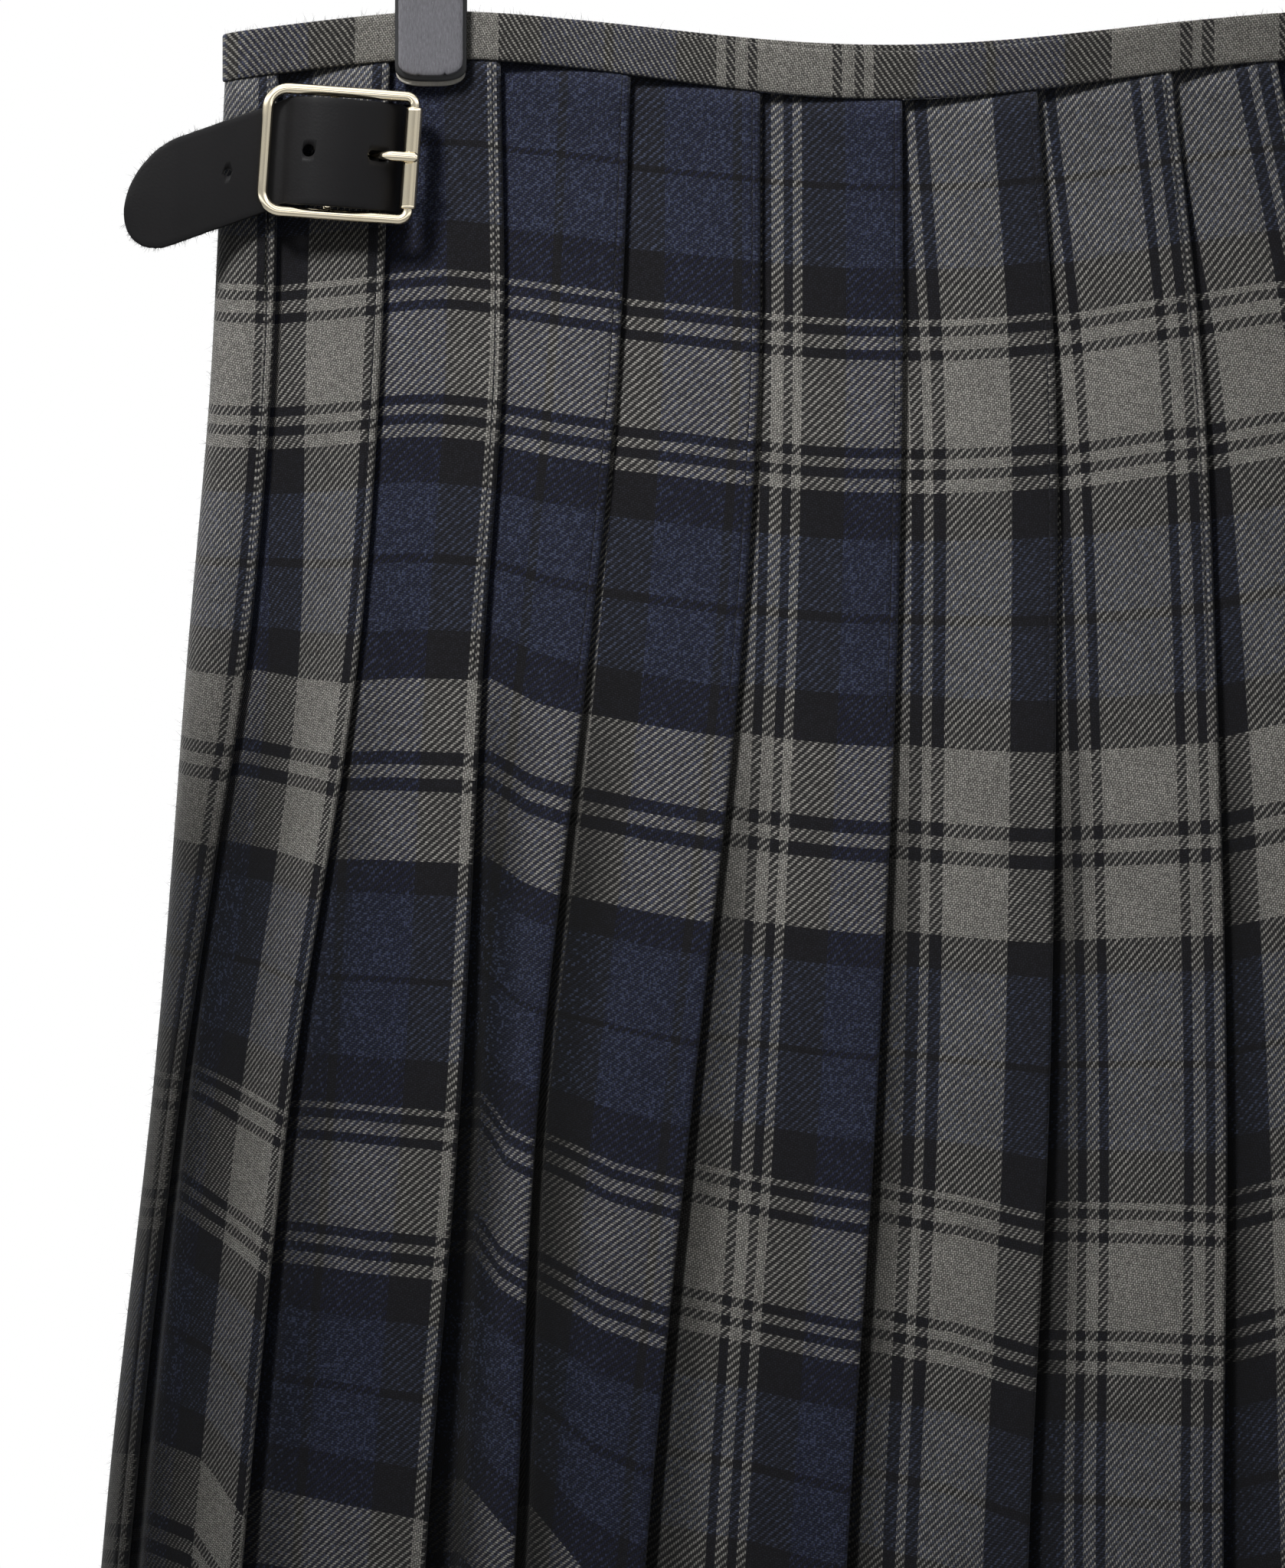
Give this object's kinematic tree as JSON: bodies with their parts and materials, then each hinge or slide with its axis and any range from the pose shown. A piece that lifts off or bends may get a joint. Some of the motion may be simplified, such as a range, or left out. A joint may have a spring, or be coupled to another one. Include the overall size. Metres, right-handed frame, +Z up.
{
  "type": "pleated wrap skirt on a clip hanger",
  "caption": "Knife-pleated tartan wrap skirt with a narrow waistband and leather buckle straps, hanging flat from a clip hanger.",
  "frame": {"origin": "the top of the hanger hook's inside, where the rail that holds it touches", "axes": "+Z up, +X to the right seen from the pleated side, which faces -Y"},
  "size_m": [0.4629, 0.0924, 0.7597],
  "materials": {
    "wool_tartan": "worsted wool twill, dark navy and black tartan with light grey stripes, slightly napped",
    "wool_band": "the same wool twill cut as a band, light grey with navy and black stripes",
    "black_leather": "black strap leather, semi-matt, with raw cut edges",
    "pale_brass": "polished pale gold plating with fine scratches",
    "bright_steel": "bright plated steel wire and strip",
    "grey_plastic": "mid grey coated clip plate, matt, faintly scratched",
    "black_plastic": "black gripping pad"
  },
  "bodies": {
    "root": {"pleated_panel": "wool_tartan", "over_apron": "wool_tartan", "under_apron": "wool_tartan", "waistband": "wool_band", "near_strap": "black_leather", "near_chape": "black_leather", "near_buckle_frame": "pale_brass", "near_buckle_roller": "pale_brass", "near_buckle_prong": "pale_brass", "far_strap": "black_leather", "far_chape": "black_leather", "far_buckle_frame": "pale_brass", "far_buckle_roller": "pale_brass", "far_buckle_prong": "pale_brass", "hanger_hook": "bright_steel", "hanger_rail": "bright_steel", "left_clip_near_pad": "black_plastic", "left_clip_near_jaw": "grey_plastic", "left_clip_far_pad": "black_plastic", "left_clip_far_jaw": "grey_plastic", "left_clip_spring": "bright_steel", "right_clip_near_pad": "black_plastic", "right_clip_near_jaw": "grey_plastic", "right_clip_far_pad": "black_plastic", "right_clip_far_jaw": "grey_plastic", "right_clip_spring": "bright_steel"}
  },
  "joints": []
}
